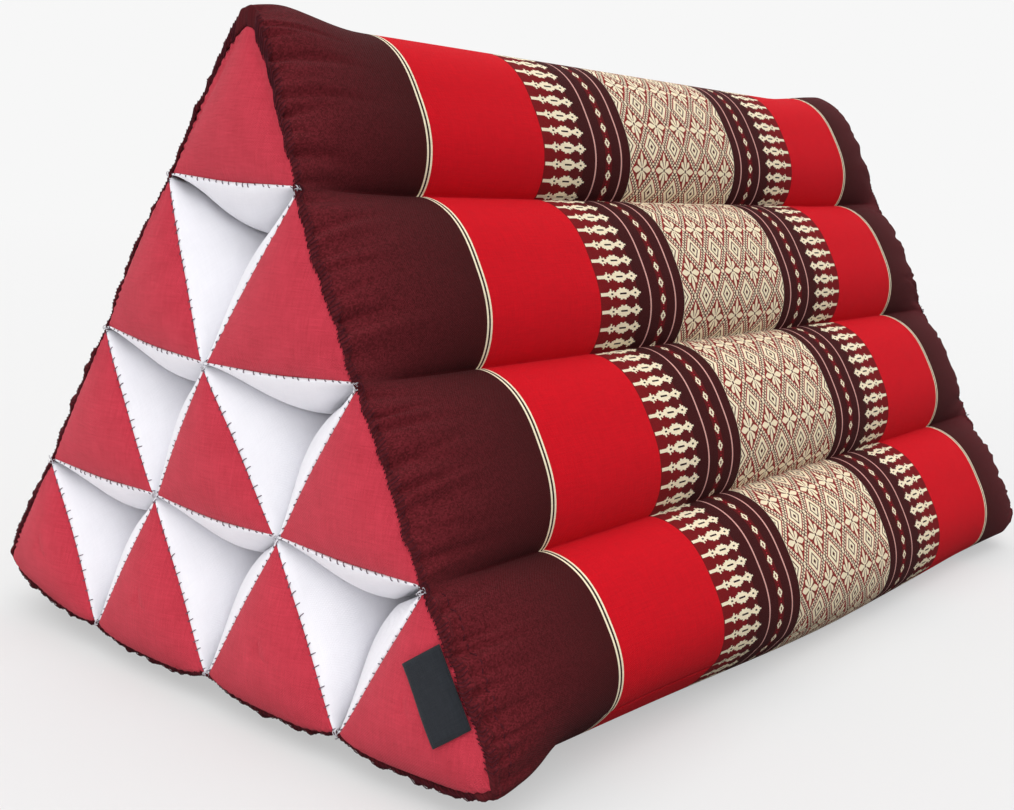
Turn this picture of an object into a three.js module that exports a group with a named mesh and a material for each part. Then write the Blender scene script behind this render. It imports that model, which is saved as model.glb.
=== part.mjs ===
// Thai triangle cushion: ten firm stuffed rolls in four rows, sewn together along their
// corners, in a woven cover, with red end triangles and a folded label.
// Millimetres, +Z up. The length runs along X, the front face looks along -Y, and the
// origin is on the floor, under the middle of the cushion.

import * as THREE from 'three';

// Driving dimensions
const cushionLength = 500; // from end seam to end seam
const rollPitch = 72; // side of one roll's triangle, from seam to seam
const rowCount = 4; // rows of 1, 2, 3 and 4 rolls
const baseLift = 12; // the base seams stand this far off the floor
const sheetThickness = 1.2; // woven cover and red end triangles
const pieceGap = 0.3; // between neighbouring pieces

// Walls of the rolls: crown at the end seam and far inside, the depth over which a wall
// fills out, how square its arch is, and how far the cover's hem stands out from it.
const coveredWall = { edgeCrown: 1.5, fullCrown: 17, fillDepth: 18, squareness: 2.7, steps: 7, hemRise: 1.8 };
const baseWall = { ...coveredWall, edgeCrown: 0.5, hemRise: 0.8 };
// White walls press on each other along the corners of the hollows.
const whiteWall = { edgeCrown: 2.5, fullCrown: 21, fillDepth: 12, squareness: 2, steps: 4 };
const lips = [5, 2.5, 2]; // turned-in edges of a roll's front, lower and back white walls
const endDome = 6; // rise of a red triangle's middle over its seam
const domeRoundness = 0.7;
const domeRing = 0.6; // size of the ring of points inside a triangle's rim

// Overcast hem at both ends of the cover: its width, its fold under the cover, and how
// much of its rise is left where it crosses a valley
const hemWidth = 7;
const hemCrest = 4; // depth of its highest line
const hemFold = 1;
const hemPinch = 0.4;

// Stitches and stuffing pull the seams about. seam is a row and a place, along runs from
// -1 at the left end to 1 at the right end, reach is how far the pull is felt along X and
// across it, and move is the shift in X, Y and Z.
const pulls = [
  { seam: [0, 0], along: -1, reach: [60, 90], move: [9, 0, 6.5] },
  { seam: [0, 0], along: 1, reach: [110, 110], move: [-11, 0, 7] },
  { seam: [4, 0], along: -1, reach: [42, 60], move: [2, -3, -8] },
  { seam: [4, 0], along: -0.76, reach: [230, 60], move: [0, 1, 11] },
  { seam: [4, 0], along: 1, reach: [90, 60], move: [-5, -5, 0] },
  { seam: [4, 4], along: -1, reach: [45, 60], move: [3, 1, 10] },
  { seam: [4, 4], along: 1, reach: [45, 60], move: [-3, 1, 8] },
  { seam: [2, 1], along: -1, reach: [60, 60], move: [-6, 2, -4] },
];

// Label, sewn flat into the front seam of the lowest front roll at the left end
const labelLength = 28; // along the seam
const labelWidth = 14.5; // from the seam inwards
const labelThickness = 1;
const labelFromCorner = 25; // along the seam, from the front corner
const labelFromSeam = 1;
const labelClearance = 0.5;

// Depths behind the end seam at which a section is drawn, up to the middle
const fillStations = [hemWidth, 14, 26, 45, 90];

const rowHeight = rollPitch * Math.sqrt(3) / 2;
const hollowDepth = rollPitch / (2 * Math.sqrt(3)); // from a white wall to its hollow's middle
const halfLength = cushionLength / 2;
const rollInset = sheetThickness + pieceGap; // a roll's wall lies this far under the cover
const panelSteps = rowCount * coveredWall.steps;

const whiteCotton = new THREE.MeshStandardMaterial({ color: 0xeeece8, roughness: 0.9, metalness: 0 });
const wovenCover = new THREE.MeshStandardMaterial({ color: 0x9c1f2a, roughness: 0.8, metalness: 0 });
const redCotton = new THREE.MeshStandardMaterial({ color: 0xb8434a, roughness: 0.9, metalness: 0 });
const blackTape = new THREE.MeshStandardMaterial({ color: 0x17161a, roughness: 0.7, metalness: 0 });

// A section point keeps Y in x and Z in y. Row 0 is the ridge, place 0 is at the front.
function seamPoint(row, place) {
  return new THREE.Vector2(rollPitch * (place - row / 2), baseLift + rowHeight * (rowCount - row));
}

// How far a wall stands out from its chord, at `across` from -1 to 1 and at a depth
// behind the end seam.
function wallRise(wall, across, depth) {
  const filled = 1 - Math.exp(-Math.max(depth, 0) / wall.fillDepth);
  const crown = wall.edgeCrown + (wall.fullCrown - wall.edgeCrown) * filled;
  return crown * (1 - Math.abs(across) ** wall.squareness);
}

// Points of one wall from corner `from` up to, but without, corner `to`. The outside is
// on the right of that direction.
function wallPoints(from, to, wall, depth) {
  const along = to.clone().sub(from);
  const outward = new THREE.Vector2(along.y, -along.x).normalize();
  const points = [];
  for (let i = 0; i < wall.steps; i++) {
    const across = Math.sin(Math.PI / 2 * (2 * i / wall.steps - 1));
    let rise = wallRise(wall, across, depth);
    if (wall === whiteWall) rise = Math.min(rise, hollowDepth * (1 - Math.abs(across)));
    if (wall === baseWall) rise = Math.min(rise, baseLift);
    const point = from.clone().addScaledVector(along, (across + 1) / 2);
    points.push(point.addScaledVector(outward, rise));
  }
  return points;
}

// The same closed outline with each edge moved inwards by its own inset. Edges that turn
// by less than this are taken as one straight line.
const leastTurn = 1e-4;
function insetOutline(points, insets) {
  const normals = points.map((point, i) => {
    const edge = points[(i + 1) % points.length].clone().sub(point);
    return new THREE.Vector2(edge.y, -edge.x).normalize();
  });
  return points.map((point, i) => {
    const last = (i + points.length - 1) % points.length;
    const turn = normals[last].cross(normals[i]);
    const shift = normals[i].clone().multiplyScalar(insets[i]);
    if (Math.abs(turn) > leastTurn) {
      shift.x = (insets[last] * normals[i].y - insets[i] * normals[last].y) / turn;
      shift.y = (insets[i] * normals[last].x - insets[last] * normals[i].x) / turn;
    }
    return point.clone().sub(shift);
  });
}

// Corners of the roll in a row and place, both from 1: ridge side, front, back.
function rollCorners(row, place) {
  return [seamPoint(row - 1, place - 1), seamPoint(row, place - 1), seamPoint(row, place)];
}

function rollWalls(row, place) {
  const front = place === 1 ? coveredWall : whiteWall;
  const below = row === rowCount ? baseWall : whiteWall;
  const back = place === row ? coveredWall : whiteWall;
  return [front, below, back];
}

// A roll's section at a depth, lying under the cover and clear of its neighbours.
function rollSection(row, place, depth) {
  const corners = rollCorners(row, place);
  const points = [];
  const insets = [];
  rollWalls(row, place).forEach((wall, side) => {
    const line = wallPoints(corners[side], corners[(side + 1) % 3], wall, depth);
    points.push(...line);
    insets.push(...line.map(() => (wall === whiteWall ? pieceGap : rollInset)));
  });
  return insetOutline(points, insets);
}

// Corners of a roll's end face, drawn in under the hem and behind the white lips.
function rimCorners(row, place) {
  const insets = rollWalls(row, place).map((wall, side) => (
    wall === whiteWall ? pieceGap + lips[side] : rollInset + hemFold
  ));
  return insetOutline(rollCorners(row, place), insets);
}

// The outside of the whole cushion at a depth: front face down, base back, back face up.
// Each face's line is moved out by its wall's hem rise times a share, or in by an inset.
function coverSection(depth, hemShare, inset) {
  const points = [];
  const insets = [];
  const addWall = (from, to, wall) => {
    const line = wallPoints(from, to, wall, depth);
    points.push(...line);
    insets.push(...line.map(() => inset - hemShare * wall.hemRise));
  };
  for (let row = 0; row < rowCount; row++) addWall(seamPoint(row, 0), seamPoint(row + 1, 0), coveredWall);
  for (let i = 0; i < rowCount; i++) addWall(seamPoint(rowCount, i), seamPoint(rowCount, i + 1), baseWall);
  for (let row = rowCount; row > 0; row--) {
    addWall(seamPoint(row, row), seamPoint(row - 1, row - 1), coveredWall);
  }
  const moved = insetOutline(points, insets);
  if (hemShare > 0) {
    moved.forEach((point, i) => {
      if (i % coveredWall.steps === 0) point.lerp(points[i], 1 - hemPinch);
    });
  }
  return moved;
}

// Smooth fall from 1 at nought to 0 at one.
function fade(share) {
  return 0.5 * (1 + Math.cos(Math.PI * Math.min(Math.max(share, 0), 1)));
}

// Puts a section point in space and moves it with the pulls that reach it.
function settle(end, depth, point) {
  const x = end * (halfLength - depth);
  const settled = new THREE.Vector3(x, point.x, point.y);
  for (const pull of pulls) {
    const distance = point.distanceTo(seamPoint(...pull.seam));
    const lengthShare = fade(Math.abs(x - pull.along * halfLength) / pull.reach[0]);
    const share = lengthShare * fade(distance / pull.reach[1]);
    settled.addScaledVector(new THREE.Vector3(...pull.move), share);
  }
  return settled;
}

// Closed mesh from vertices and triangles, turned to face outwards.
function solid(name, material, vertices, triangles) {
  let volume = 0;
  for (const [a, b, c] of triangles) {
    volume += vertices[a].dot(vertices[b].clone().cross(vertices[c]));
  }
  if (volume < 0) triangles.forEach((triangle) => triangle.reverse());
  const geometry = new THREE.BufferGeometry();
  const places = vertices.flatMap((vertex) => vertex.toArray());
  geometry.setAttribute('position', new THREE.Float32BufferAttribute(places, 3));
  geometry.setIndex(triangles.flat());
  geometry.computeVertexNormals();
  const mesh = new THREE.Mesh(geometry, material);
  mesh.name = name;
  return mesh;
}

// Two triangles on four corners, folded from the first corner to the third, or else from
// the second to the fourth. Nested surfaces fold the same way, so they stay apart.
function addQuad(triangles, [a, b, c, d], foldSecond) {
  if (foldSecond) triangles.push([a, b, d], [b, c, d]);
  else triangles.push([a, b, c], [a, c, d]);
}

// Skin over a row of closed rings, drawn together to a tip at each end.
function ringSolid(name, material, firstTip, rings, lastTip) {
  const count = rings[0].length;
  const vertices = [firstTip, ...rings.flat(), lastTip];
  const triangles = [];
  for (let i = 0; i < count; i++) {
    const next = (i + 1) % count;
    triangles.push([0, 1 + next, 1 + i]);
    for (let ring = 0; ring < rings.length - 1; ring++) {
      const near = 1 + ring * count;
      const far = near + count;
      addQuad(triangles, [near + i, near + next, far + next, far + i], ring >= (rings.length - 1) / 2);
    }
    const last = 1 + (rings.length - 1) * count;
    triangles.push([last + i, last + next, vertices.length - 1]);
  }
  return solid(name, material, vertices, triangles);
}

// Sheet between rows of outer points and the same rows of inner points.
function sheetSolid(name, material, outerRows, innerRows) {
  const count = outerRows[0].length;
  const vertices = outerRows.flatMap((row, i) => [...row, ...innerRows[i]]);
  const outer = (row, i) => row * 2 * count + i;
  const inner = (row, i) => outer(row, i) + count;
  const triangles = [];
  const lastRow = outerRows.length - 1;
  for (let row = 0; row < lastRow; row++) {
    const next = row + 1;
    const foldSecond = row >= lastRow / 2;
    for (let i = 0; i < count - 1; i++) {
      addQuad(triangles, [outer(row, i), outer(row, i + 1), outer(next, i + 1), outer(next, i)], foldSecond);
      addQuad(triangles, [inner(row, i), inner(next, i), inner(next, i + 1), inner(row, i + 1)], foldSecond);
    }
    addQuad(triangles, [inner(row, 0), outer(row, 0), outer(next, 0), inner(next, 0)], false);
    const end = count - 1;
    addQuad(triangles, [outer(row, end), inner(row, end), inner(next, end), outer(next, end)], false);
  }
  for (let i = 0; i < count - 1; i++) {
    addQuad(triangles, [outer(0, i), inner(0, i), inner(0, i + 1), outer(0, i + 1)], false);
    const last = [outer(lastRow, i), outer(lastRow, i + 1), inner(lastRow, i + 1), inner(lastRow, i)];
    addQuad(triangles, last, false);
  }
  return solid(name, material, vertices, triangles);
}

// Height of a red triangle over its seam, from 0 at the edges to 1 in the middle.
function domeShare(corners, point) {
  const area = (a, b, c) => b.clone().sub(a).cross(c.clone().sub(a));
  const whole = area(...corners);
  const shares = corners.map((corner, i) => (
    area(point, corners[(i + 1) % 3], corners[(i + 2) % 3]) / whole
  ));
  if (Math.min(...shares) <= 0) return 0;
  return (27 * shares[0] * shares[1] * shares[2]) ** domeRoundness;
}

// Rings of a roll's end, at a depth under the face of its red triangle: the rim, one ring
// inside it, and the tip in the middle.
function endRings(end, row, place, under) {
  const corners = rimCorners(row, place);
  const middle = new THREE.Vector2();
  corners.forEach((corner) => middle.addScaledVector(corner, 1 / 3));
  const outline = rollWalls(row, place).flatMap((wall, side) => (
    wallPoints(corners[side], corners[(side + 1) % 3], wall, 0)
  ));
  const onDome = (point) => settle(end, under - endDome * domeShare(corners, point), point);
  return {
    rim: outline.map((point) => settle(end, under, point)),
    inside: outline.map((point) => onDome(middle.clone().lerp(point, domeRing))),
    tip: onDome(middle),
  };
}

function makeRoll(row, place) {
  const left = endRings(-1, row, place, rollInset);
  const right = endRings(1, row, place, rollInset);
  const ringsFrom = (end) => fillStations.map((depth) => (
    rollSection(row, place, depth).map((point) => settle(end, depth, point))
  ));
  const middle = rollSection(row, place, halfLength).map((point) => settle(1, halfLength, point));
  const rings = [
    left.inside, left.rim, ...ringsFrom(-1), middle, ...ringsFrom(1).toReversed(), right.rim, right.inside,
  ];
  return ringSolid(`roll_${row}_${place}`, whiteCotton, left.tip, rings, right.tip);
}

function makeCap(end, row, place) {
  const face = endRings(end, row, place, 0);
  const back = endRings(end, row, place, sheetThickness);
  const side = end < 0 ? 'left' : 'right';
  const rings = [face.inside, face.rim, back.rim, back.inside];
  return ringSolid(`cap_${side}_${row}_${place}`, redCotton, face.tip, rings, back.tip);
}

// One long face of the cover, from its first point on the cushion's outline. The hem is
// its raised and folded end.
function makeCover(name, firstPoint) {
  const lineAt = (station, hemShare, inset) => {
    const outline = coverSection(station.depth, hemShare, inset);
    const line = [];
    for (let i = 0; i <= panelSteps; i++) line.push(outline[(firstPoint + i) % outline.length].clone());
    line[0].add(line[1].clone().sub(line[0]).setLength(pieceGap / 2));
    const last = line[panelSteps];
    last.add(line[panelSteps - 1].clone().sub(last).setLength(pieceGap / 2));
    return line.map((point) => settle(station.end, station.depth, point));
  };
  const stations = [
    { depth: 0, rise: 0.7, fold: 1 },
    { depth: hemCrest, rise: 1, fold: 0.45 },
    ...fillStations.map((depth) => ({ depth, rise: 0, fold: 0 })),
  ];
  const places = [
    ...stations.map((station) => ({ end: -1, ...station })),
    { end: 1, depth: halfLength, rise: 0, fold: 0 },
    ...stations.toReversed().map((station) => ({ end: 1, ...station })),
  ];
  const outerRows = places.map((station) => lineAt(station, station.rise, 0));
  const innerRows = places.map((station) => lineAt(station, 0, sheetThickness + station.fold * hemFold));
  return sheetSolid(name, wovenCover, outerRows, innerRows);
}

// The folded tape follows the dome of the red triangle that it lies on.
function makeLabel() {
  const corners = rollCorners(rowCount, 1);
  const upSeam = corners[0].clone().sub(corners[1]).normalize();
  const inwards = new THREE.Vector2(upSeam.y, -upSeam.x);
  const alongSteps = 4;
  const inwardSteps = 4;
  const rows = (above) => Array.from({ length: alongSteps + 1 }, (_, i) => (
    Array.from({ length: inwardSteps + 1 }, (__, j) => {
      const point = corners[1].clone()
        .addScaledVector(upSeam, labelFromCorner + labelLength * i / alongSteps)
        .addScaledVector(inwards, labelFromSeam + labelWidth * j / inwardSteps);
      return settle(-1, -above - endDome * domeShare(corners, point), point);
    })
  ));
  return sheetSolid('label', blackTape, rows(labelClearance + labelThickness), rows(labelClearance));
}

const cushion = new THREE.Group();
for (let row = 1; row <= rowCount; row++) {
  for (let place = 1; place <= row; place++) {
    cushion.add(makeRoll(row, place), makeCap(-1, row, place), makeCap(1, row, place));
  }
}
cushion.add(makeCover('cover_front', 0));
cushion.add(makeCover('cover_base', panelSteps));
cushion.add(makeCover('cover_back', 2 * panelSteps));
cushion.add(makeLabel());

export default cushion;
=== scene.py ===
# Thai triangle cushion: ten stuffed rolls in four rows, a woven cover over the three long
# faces, red end triangles, overcast hems and a folded black label.
import math

import bpy
import numpy as np
from mathutils import Matrix, Vector


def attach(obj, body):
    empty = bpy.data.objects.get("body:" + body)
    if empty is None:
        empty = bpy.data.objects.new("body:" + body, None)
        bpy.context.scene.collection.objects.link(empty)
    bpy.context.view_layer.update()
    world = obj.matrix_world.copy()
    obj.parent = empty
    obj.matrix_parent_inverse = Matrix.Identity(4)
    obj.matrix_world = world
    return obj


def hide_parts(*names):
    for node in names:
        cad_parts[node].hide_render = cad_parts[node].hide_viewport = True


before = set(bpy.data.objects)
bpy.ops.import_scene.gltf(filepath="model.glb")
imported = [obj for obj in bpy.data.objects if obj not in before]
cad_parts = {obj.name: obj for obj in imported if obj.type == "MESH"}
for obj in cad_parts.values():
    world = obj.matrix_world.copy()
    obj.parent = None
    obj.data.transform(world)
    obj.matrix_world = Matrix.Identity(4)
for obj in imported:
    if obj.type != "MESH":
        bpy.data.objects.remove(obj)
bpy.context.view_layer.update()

for thing in bpy.context.selected_objects:
    thing.select_set(False)

# Camera
# It stands in front of the end with the label, a little above the cushion, and sees the
# end face and the front face. Its frame is 1014 x 810 and its shift is the photograph's.
FRAME_WIDTH = 1014
SENSOR = 36
FOCAL_PIXELS = 1310.6
MIDDLE_OFF = (64.5, -101.7)  # from the frame's middle to the point that the camera aims at
CAMERA_AT = (-0.5618, -0.3900, 0.2206)
CAMERA_TURN = {"azimuth": -53.63, "elevation": 6.54, "roll": 4.24}

turn = {name: math.radians(angle) for name, angle in CAMERA_TURN.items()}
level = math.cos(turn["elevation"])
backward = Vector((
    math.sin(turn["azimuth"]) * level, -math.cos(turn["azimuth"]) * level, math.sin(turn["elevation"]),
))
sideways = Vector((0, 0, 1)).cross(backward).normalized()
upright = backward.cross(sideways)
right = math.cos(turn["roll"]) * sideways + math.sin(turn["roll"]) * upright
up = math.cos(turn["roll"]) * upright - math.sin(turn["roll"]) * sideways
lens = bpy.data.cameras.new("camera")
lens.sensor_width = SENSOR
lens.lens = FOCAL_PIXELS * SENSOR / FRAME_WIDTH
lens.shift_x = -MIDDLE_OFF[0] / FRAME_WIDTH
lens.shift_y = MIDDLE_OFF[1] / FRAME_WIDTH
lens.clip_end = 100
camera = bpy.data.objects.new("camera", lens)
camera.matrix_world = Matrix.Translation(CAMERA_AT) @ Matrix((right, up, backward)).transposed().to_4x4()
bpy.context.scene.collection.objects.link(camera)
bpy.context.scene.camera = camera

# Rolls
# Each is a case of white cotton, triangular in section and stuffed hard, with its ends
# turned in. They are sewn to each other along their corners, and swell between them.
MM = 0.001
LENGTH = 500  # between the end seams; sizes are in millimetres
PITCH = 72  # side of a roll's triangle, from seam to seam
ROWS = 4
BASE_LIFT = 12  # the lowest seams are this high over the floor
HALF = LENGTH / 2
ROW_HEIGHT = PITCH * math.sqrt(3) / 2
HOLLOW_DEPTH = PITCH / (2 * math.sqrt(3))  # most that a white wall can swell into its hollow
SHEET = 1.2  # thickness of the cloth
GAP = 0.3  # the white walls are this far inside their seams
# Rise of a wall at the end seam and where it is full, depth over which it fills, its crown
COVERED = {"edge": 1.5, "full": 17, "fill": 18, "square": 2.7, "steep": 0.78}
BASE = {"edge": 4.5, "full": 17, "fill": 40, "square": 2.7, "steep": 1}
WHITE = {"edge": 2.5, "full": 21, "fill": 12, "square": 2, "steep": 1}
# Stitches and stuffing pull the seams about: row and place, end, reach along and across, move
PULLS = [
    ((0, 0), -1, (60, 90), (7, 1, 8)),
    ((0, 0), 1, (110, 110), (-11, 0, 7)),
    ((4, 0), -1, (42, 72), (2, -3, -8)),
    ((4, 0), -0.76, (230, 72), (0, 1, 11)),
    ((4, 0), 1, (90, 72), (-5, -5, 0)),
    ((4, 4), -1, (45, 72), (3, 1, 10)),
    ((4, 4), 1, (45, 72), (-3, 1, 8)),
    ((2, 1), -1, (60, 72), (-6, 2, -4)),
]


def seam_point(row, place):
    return np.array([PITCH * (place - row / 2), BASE_LIFT + ROW_HEIGHT * (ROWS - row)])


def fade(share):
    return 0.5 * (1 + np.cos(np.pi * np.clip(share, 0, 1)))


def settle(x, section):
    """Section points at x, in space and moved by the pulls that reach them."""
    x = np.broadcast_to(np.asarray(x, float), section.shape[:-1])
    moved = np.concatenate([x[..., None], section], axis=-1)
    for (row, place), along, reach, move in PULLS:
        distance = np.linalg.norm(section - seam_point(row, place), axis=-1)
        share = fade(np.abs(x - along * HALF) / reach[0]) * np.clip(1 - distance / reach[1], 0, 1)
        moved = moved + share[..., None] * np.array(move)
    return moved


def crown(wall, across, filled):
    """Share of a wall's rise. A covered wall is steeper at its seams where it is full."""
    return (1 - np.abs(across) ** wall["square"]) ** (1 + (wall["steep"] - 1) * filled)


def wall_rise(wall, across, depth):
    filled = 1 - np.exp(-np.maximum(depth, 0) / wall["fill"])
    rise = (wall["edge"] + (wall["full"] - wall["edge"]) * filled) * crown(wall, across, filled)
    if wall is WHITE:
        rise = np.minimum(rise, HOLLOW_DEPTH * (1 - np.abs(across)))
    if wall is BASE:
        rise = np.minimum(rise, BASE_LIFT)
    return rise


def spread(steps, crowding=0.3):
    """Places from -1 to 1 across a wall, a little closer together at its corners."""
    even = 2 * np.arange(steps) / steps - 1
    return (1 - crowding) * even + crowding * np.sin(np.pi / 2 * even)


def wall_line(start, end, wall, across, depth):
    chord = end - start
    outward = np.array([chord[1], -chord[0]]) / np.linalg.norm(chord)
    line = start + (across[:, None] + 1) / 2 * chord
    return line + wall_rise(wall, across, depth)[:, None] * outward, outward


def roll_corners(row, place):
    return [seam_point(row - 1, place - 1), seam_point(row, place - 1), seam_point(row, place)]


def roll_walls(row, place):
    return [
        COVERED if place == 1 else WHITE,
        BASE if row == ROWS else WHITE,
        COVERED if place == row else WHITE,
    ]


def end_corners(row, place, clear=0.0):
    """Corners of a roll's end face. The cushion's three outer corners are cut short."""
    corners = roll_corners(row, place)
    middle = np.mean(corners, axis=0)
    cuts = [KNOT, KNOT, KNOT]
    if row == 1:
        cuts[0] = RIDGE_CUT
    if row == ROWS and place == 1:
        cuts[1] = FRONT_CUT
    if row == ROWS and place == ROWS:
        cuts[2] = BACK_CUT
    return [
        corner + (cut + 2 * clear) * (middle - corner) / np.linalg.norm(middle - corner)
        for corner, cut in zip(corners, cuts)
    ]


def end_line(row, place, side, across):
    """One edge of an end face, and the way out of it. Away from a corner that is cut short
    it bows back out to the line between the seams."""
    corners = end_corners(row, place)
    start, end = corners[side], corners[(side + 1) % 3]
    line, outward = wall_line(start, end, roll_walls(row, place)[side], across, 0)
    long = np.linalg.norm(end - start)
    for share, corner, whole in (
        ((across + 1) / 2, start, roll_corners(row, place)[side]),
        ((1 - across) / 2, end, roll_corners(row, place)[(side + 1) % 3]),
    ):
        cut = np.linalg.norm(whole - corner) - KNOT
        line = line + (cut / 2 * (1 - share) * (1 - np.exp(-share * long / BOW)))[:, None] * outward
    return line, outward


def mesh_piece(name, points, faces):
    """A smooth piece, from points in millimetres."""
    mesh = bpy.data.meshes.new(name)
    mesh.from_pydata((points.reshape(-1, 3) * MM).tolist(), [], faces)
    mesh.shade_smooth()
    piece = bpy.data.objects.new(name, mesh)
    bpy.context.scene.collection.objects.link(piece)
    return piece


def ring_piece(name, rings, first_tip=None, last_tip=None):
    """A mesh on rings of points in millimetres, closed round, with or without tips."""
    count, around = rings.shape[:2]
    points = [rings.reshape(-1, 3)]
    at = np.arange(count * around).reshape(count, around)
    after = np.roll(at, -1, axis=1)
    faces = np.stack([at[:-1], after[:-1], after[1:], at[1:]], axis=-1).reshape(-1, 4).tolist()
    total = count * around
    if first_tip is not None:
        points.append(first_tip[None])
        faces += [[total, after[0][i], at[0][i]] for i in range(around)]
        total += 1
    if last_tip is not None:
        points.append(last_tip[None])
        faces += [[total, at[-1][i], after[-1][i]] for i in range(around)]
    return mesh_piece(name, np.concatenate(points), faces)


KNOT = 0.8  # the corners of the end faces stay this far from the knots
RIDGE_CUT = 10  # and the cushion's own three this far from its corners
FRONT_CUT = 5
BACK_CUT = 4
FACE_CLEAR = 0.4  # a case's own end corners are this much further in
BOW = 8  # length over which an edge comes back from a cut corner
LIPS = [2.3, 1.5, 2.6]  # turned-in edges of the front, lower and back white walls
HEM_TURNED = 0.6  # width of the cover's edge that is turned in round the end face
UNDER_COVER = 2.2  # the cases lie this far inside the cover's face
UNDER_PUCKERS = 2  # and this much more at the ends
PUCKERS_FADE = 25  # which fades over this depth
UNDER_CORNERS = 6  # their corners lie this far inside the cushion's own three corners
UNDER_CHANNELS = 1.4  # and this far inside the cover's channels
CHANNEL_START = 6  # which are full from this depth on
HIDDEN = 3  # their rims are this far behind the cover's edge
HIDDEN_DEPTH = 30  # and their rings less and less so, down to this depth
SIDE_STEPS = 36
SIDE_ACROSS = spread(SIDE_STEPS, 0.15)
# Depths behind the end seam, each with the share of the lip that is left there
LIP_RINGS = [
    (0.8, 1.1), (0.2, 1.0), (-0.25, 0.8), (-0.35, 0.55), (-0.2, 0.3), (0.3, 0.1), (1.0, 0.02), (2.0, 0),
]
WALL_DEPTHS = [3.2, 4.6, 6.2, 8, 10, 12.5, 15.5, 19, 23, 28, 34, 42, 55, 75, 105, 145, 195]
END_SHARES = (0.3, 0.6, 0.85)  # rings of a case's end face, from its middle to its rim
BEHIND_FACE = 2.0  # the case's end face is this far behind the end triangle
END_DOME = 6  # height of an end face's dome
DOME_ROUNDNESS = 0.7


def roll_ring(row, place, depth, lip_share):
    """A roll's outline at a depth, drawn in towards its end face by a share of its lips."""
    whole = np.array(roll_corners(row, place))
    face = np.array(end_corners(row, place, FACE_CLEAR))
    middle = whole.mean(axis=0)
    covered = [wall is not WHITE for wall in roll_walls(row, place)]
    behind = max(depth, 0)
    in_channel = UNDER_CHANNELS * min(1, behind / CHANNEL_START)
    for i in range(3):
        inside = (0, in_channel, UNDER_CORNERS)[covered[i - 1] + covered[i]]
        whole[i] += inside * (middle - whole[i]) / np.linalg.norm(middle - whole[i])
    corners = (1 - lip_share) * whole + lip_share * face
    from_corner = 1 - np.abs(SIDE_ACROSS)
    lines = []
    for side, (wall, lip) in enumerate(zip(roll_walls(row, place), LIPS)):
        line, outward = wall_line(corners[side], corners[(side + 1) % 3], wall, SIDE_ACROSS, depth)
        lip = lip if wall is WHITE else HEM_TURNED
        under = GAP if wall is WHITE else UNDER_COVER + UNDER_PUCKERS * math.exp(-behind / PUCKERS_FADE)
        drawn = under * np.minimum(1, 12 * from_corner) + lip_share * lip * (1 - np.abs(SIDE_ACROSS) ** 3)
        lines.append(line - drawn[:, None] * outward)
    return np.concatenate(lines)


def covered_share(row, place):
    """1 where a roll's rim is under the cover, down to 0 at the corners that show white."""
    covered = [wall is not WHITE for wall in roll_walls(row, place)]
    shares = []
    for side in range(3):
        corner = np.where(SIDE_ACROSS < 0, covered[side - 1], covered[(side + 1) % 3])
        shares.append(covered[side] * (1 + (corner - 1) * np.abs(SIDE_ACROSS) ** 10))
    return np.concatenate(shares)


def face_outline(row, place):
    """The corners and the rim of a red end triangle."""
    lines = []
    for side, (wall, lip) in enumerate(zip(roll_walls(row, place), LIPS)):
        line, outward = end_line(row, place, side, SIDE_ACROSS)
        lip = lip if wall is WHITE else HEM_TURNED
        lines.append(line - lip * (1 - np.abs(SIDE_ACROSS) ** 3)[:, None] * outward)
    return end_corners(row, place), np.concatenate(lines)


def dome_share(row, corners, points):
    """Height of an end face over its seam, from 0 at the edges to 1 in the middle."""
    def area(a, b, c):
        return (b - a)[..., 0] * (c - a)[..., 1] - (b - a)[..., 1] * (c - a)[..., 0]
    whole = area(*corners)
    shares = [area(points, corners[(i + 1) % 3], corners[(i + 2) % 3]) / whole for i in range(3)]
    if row == ROWS:
        shares[0] = shares[0] + BASE["edge"] / ROW_HEIGHT
    return (27 * np.prod(np.clip(shares, 0, None), axis=0)) ** DOME_ROUNDNESS


def roll_grid(row, place):
    """Rings of a roll from its left end to its right end, and its two tips."""
    corners = end_corners(row, place)
    middle = np.mean(corners, axis=0)
    ends = {}
    for end in (-1, 1):
        rings = []
        rim = roll_ring(row, place, 0, LIP_RINGS[0][1])
        for share in END_SHARES:
            ring = middle + share * (rim - middle)
            height = END_DOME * dome_share(row, corners, ring)
            rings.append(settle(end * (HALF - BEHIND_FACE + height), ring))
        for depth, lip_share in LIP_RINGS + [(depth, 0) for depth in WALL_DEPTHS]:
            hidden = HIDDEN * covered_share(row, place) * max(0, 1 - depth / HIDDEN_DEPTH)
            rings.append(settle(end * (HALF - depth - hidden), roll_ring(row, place, depth, lip_share)))
        ends[end] = rings
    tips = [settle(end * (HALF - BEHIND_FACE + END_DOME), middle[None])[0] for end in (-1, 1)]
    across_middle = settle(0, roll_ring(row, place, HALF, 0))
    return np.array(ends[-1] + [across_middle] + ends[1][::-1]), tips


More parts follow.
